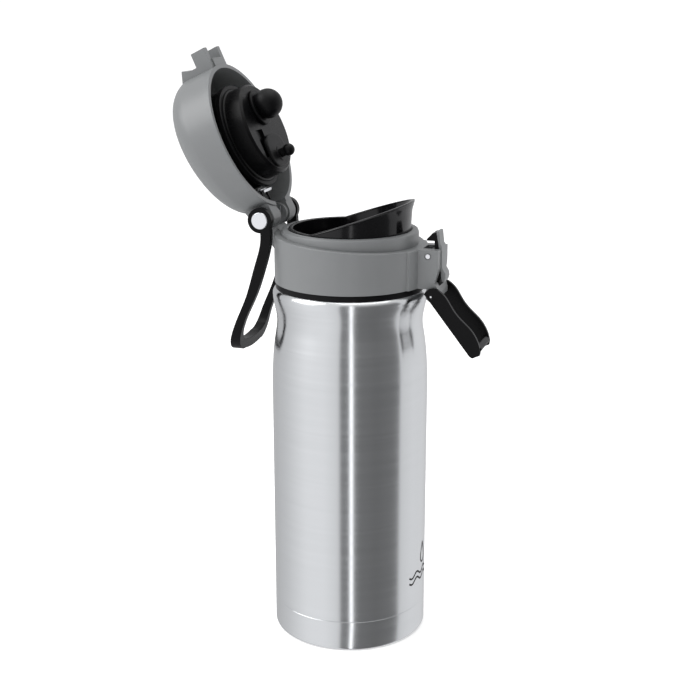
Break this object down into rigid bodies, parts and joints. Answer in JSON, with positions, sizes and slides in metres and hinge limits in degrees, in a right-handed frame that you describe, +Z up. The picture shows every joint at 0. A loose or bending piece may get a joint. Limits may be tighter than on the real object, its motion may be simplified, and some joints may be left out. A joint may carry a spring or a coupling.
{
  "type": "water bottle",
  "caption": "Insulated steel drinking bottle with a waisted neck, screw-on collar, sprung flip lid, hooked latch, lock bail and carry loop.",
  "frame": {"origin": "centre of the flat underside, on the bottle's axis", "axes": "+Z up along the bottle's axis, +X towards the latch, -X towards the lid hinge, Y along the hinge pin"},
  "size_m": [0.14, 0.07, 0.2634],
  "materials": {
    "brushed_steel": "fine circumferential brushing",
    "inner_steel": "satin",
    "seal_bead": "fused bead",
    "polished_steel": "polished",
    "spring_steel": "drawn wire",
    "grey_plastic": "satin moulded",
    "black_plastic": "fine moulded texture",
    "black_gloss": "glossy",
    "black_rubber": "soft matte silicone"
  },
  "bodies": {
    "bottle": {"outer_shell": "brushed_steel", "base_cup": "brushed_steel", "base_disc": "brushed_steel", "vacuum_seal": "seal_bead", "inner_liner": "inner_steel", "getter": "inner_steel", "neck_gasket": "black_rubber"},
    "collar_assembly": {"collar": "grey_plastic", "spout": "black_gloss", "mouth_seal": "black_rubber", "hinge_pin": "polished_steel", "pin_caps": "polished_steel", "hinge_spring": "spring_steel", "latch_pin": "polished_steel", "latch_spring": "spring_steel", "bail_pin": "polished_steel"},
    "cover": {"lid_cover": "grey_plastic", "seal_carrier": "black_plastic", "carrier_gasket": "black_rubber", "carrier_screws": "polished_steel", "spout_plug": "black_rubber", "vent_plug": "black_rubber", "spring_clip": "polished_steel"},
    "carry_loop": {"carry_loop": "black_plastic"},
    "latch": {"latch_lever": "black_plastic", "latch_button": "grey_plastic"},
    "lock_bail": {"lock_bail": "black_plastic"}
  },
  "joints": [
    {"name": "collar_lift", "type": "slide", "parent": "bottle", "child": "collar_assembly", "axis": [0, 0, 1], "range_m": [0, 0.04]},
    {"name": "lid_hinge", "type": "hinge", "parent": "collar_assembly", "child": "cover", "pos_m": [-0.0355, 0, 0.191], "axis": [0, 1, 0], "range_deg": [0, 118.5], "stiffness_Nm_per_rad": 0.004, "springref_deg": -28.65, "deforming": ["hinge_spring"]},
    {"name": "carry_loop_swing", "type": "hinge", "parent": "collar_assembly", "child": "carry_loop", "pos_m": [-0.0355, 0, 0.191], "axis": [0, 1, 0], "range_deg": [0, 55]},
    {"name": "latch_press", "type": "hinge", "parent": "collar_assembly", "child": "latch", "pos_m": [0.0375, 0, 0.178], "axis": [0, 1, 0], "range_deg": [0, 14], "stiffness_Nm_per_rad": 0.02, "springref_deg": -11.46, "deforming": ["latch_spring"]},
    {"name": "lock_bail_swing", "type": "hinge", "parent": "collar_assembly", "child": "lock_bail", "pos_m": [0.0396, 0, 0.1609], "axis": [0, -1, 0], "range_deg": [0, 139]}
  ]
}
